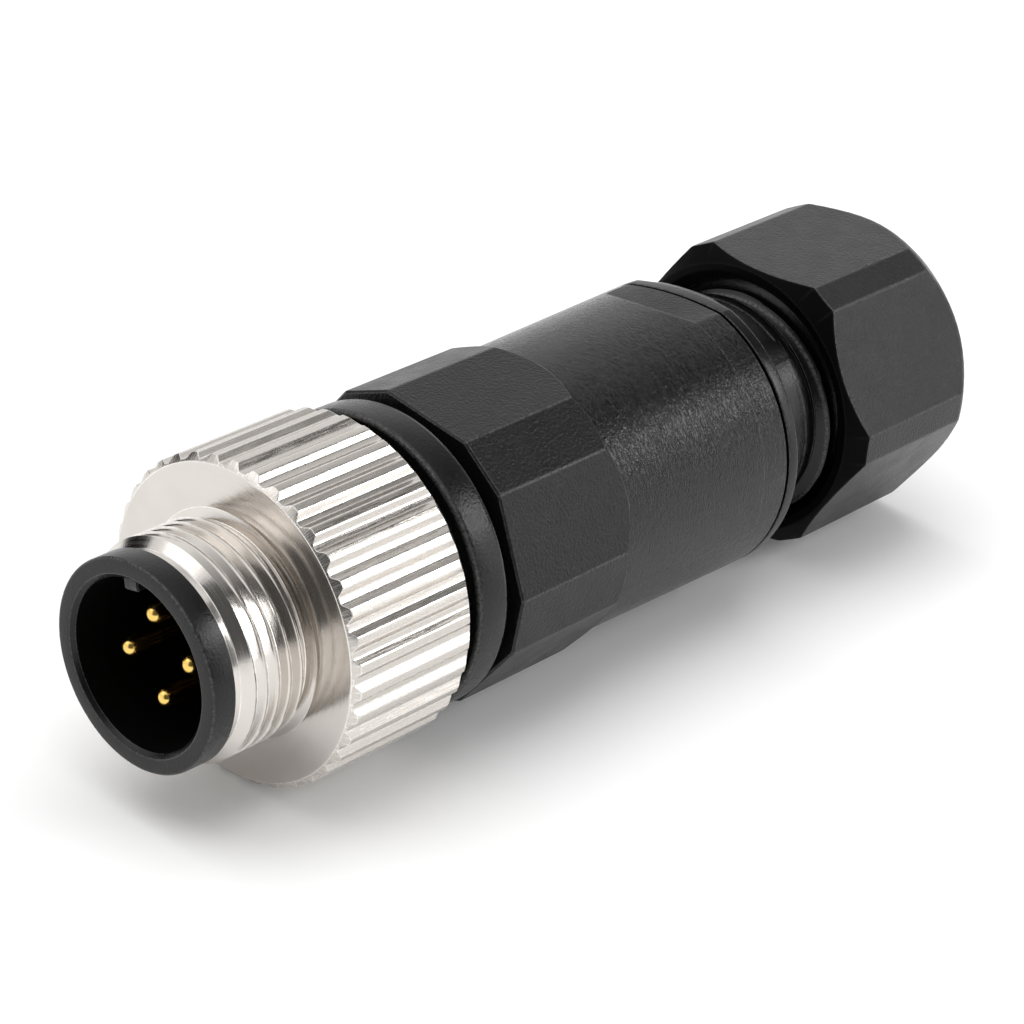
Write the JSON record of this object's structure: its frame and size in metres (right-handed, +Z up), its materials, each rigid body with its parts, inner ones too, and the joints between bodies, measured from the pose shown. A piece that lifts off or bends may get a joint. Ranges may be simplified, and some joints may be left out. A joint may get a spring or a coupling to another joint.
{
  "type": "m12 circular connector",
  "caption": "Field-wired circular sensor plug: knurled screw-coupling ring with pin contacts, hexagonal housing, drafted barrel and cable gland nut.",
  "frame": {"origin": "on the connector's axis, halfway along the coupling thread", "axes": "+X along the axis from the mating face towards the cable end, +Z up as the connector lies on a table on its knurl and on one flat of the gland nut"},
  "size_m": [0.0572, 0.018, 0.018],
  "materials": {
    "nickel_plate": "nickel-plated turned brass",
    "gold_contact": "gold-plated turned brass",
    "screw_steel": "zinc-plated steel",
    "spring_steel": "plain spring steel",
    "black_carrier": "fine matt moulded polyamide",
    "black_collar": "smooth satin moulded polyamide",
    "black_housing": "glass-filled polyamide, faintly sparkling",
    "black_gland": "satin moulded polyamide",
    "black_nut": "fine grained moulded polyamide",
    "grey_cage": "plain moulded polyamide",
    "seal_rubber": "nitrile rubber"
  },
  "bodies": {
    "housing": {"housing": "black_housing", "gland_body": "black_gland", "rear_seal": "seal_rubber", "clamp_cage": "grey_cage", "gland_seal": "seal_rubber"},
    "front_seal": {"front_seal": "seal_rubber"},
    "insert": {"contact_insert": "black_carrier", "collar": "black_collar", "retaining_ring": "spring_steel", "contact_pin_1": "gold_contact", "contact_pin_2": "gold_contact", "contact_pin_3": "gold_contact", "contact_pin_4": "gold_contact"},
    "coupling_ring": {"coupling_ring": "nickel_plate"},
    "pressure_ring": {"pressure_ring": "grey_cage"},
    "gland_nut": {"gland_nut": "black_nut"},
    "terminal_screw_1": {"terminal_screw_1": "screw_steel"},
    "terminal_screw_2": {"terminal_screw_2": "screw_steel"},
    "terminal_screw_3": {"terminal_screw_3": "screw_steel"},
    "terminal_screw_4": {"terminal_screw_4": "screw_steel"}
  },
  "joints": [
    {"name": "insert_travel", "type": "slide", "parent": "housing", "child": "front_seal", "axis": [-1, 0, 0], "range_m": [0, 0.005]},
    {"name": "insert_turn", "type": "hinge", "parent": "front_seal", "child": "insert", "pos_m": [0.014, 0, 0], "axis": [-1, 0, 0], "range_deg": [0, 1800]},
    {"name": "coupling_ring_turn", "type": "hinge", "parent": "insert", "child": "coupling_ring", "pos_m": [0, 0, 0], "axis": [-1, 0, 0], "continuous": true},
    {"name": "pressure_ring_travel", "type": "slide", "parent": "housing", "child": "pressure_ring", "axis": [1, 0, 0], "range_m": [-0.0025, 0.00375]},
    {"name": "gland_nut_turn", "type": "hinge", "parent": "pressure_ring", "child": "gland_nut", "pos_m": [0.0475, 0, 0], "axis": [1, 0, 0], "range_deg": [-600, 900]},
    {"name": "terminal_screw_1_turn", "type": "hinge", "parent": "insert", "child": "terminal_screw_1", "pos_m": [0.0232, 0, 0], "axis": [0, 0.2385, 0.9711], "range_deg": [-1080, 0]},
    {"name": "terminal_screw_2_turn", "type": "hinge", "parent": "insert", "child": "terminal_screw_2", "pos_m": [0.0232, 0, 0], "axis": [0, 0.9711, -0.2385], "range_deg": [-1080, 0]},
    {"name": "terminal_screw_3_turn", "type": "hinge", "parent": "insert", "child": "terminal_screw_3", "pos_m": [0.0232, 0, 0], "axis": [0, -0.2385, -0.9711], "range_deg": [-1080, 0]},
    {"name": "terminal_screw_4_turn", "type": "hinge", "parent": "insert", "child": "terminal_screw_4", "pos_m": [0.0232, 0, 0], "axis": [0, -0.9711, 0.2385], "range_deg": [-1080, 0]}
  ],
  "couplings": [
    {"joint": "insert_travel", "follows": "insert_turn", "m_per_rad": 0.00015915},
    {"joint": "pressure_ring_travel", "follows": "gland_nut_turn", "m_per_rad": 0.00023873}
  ]
}
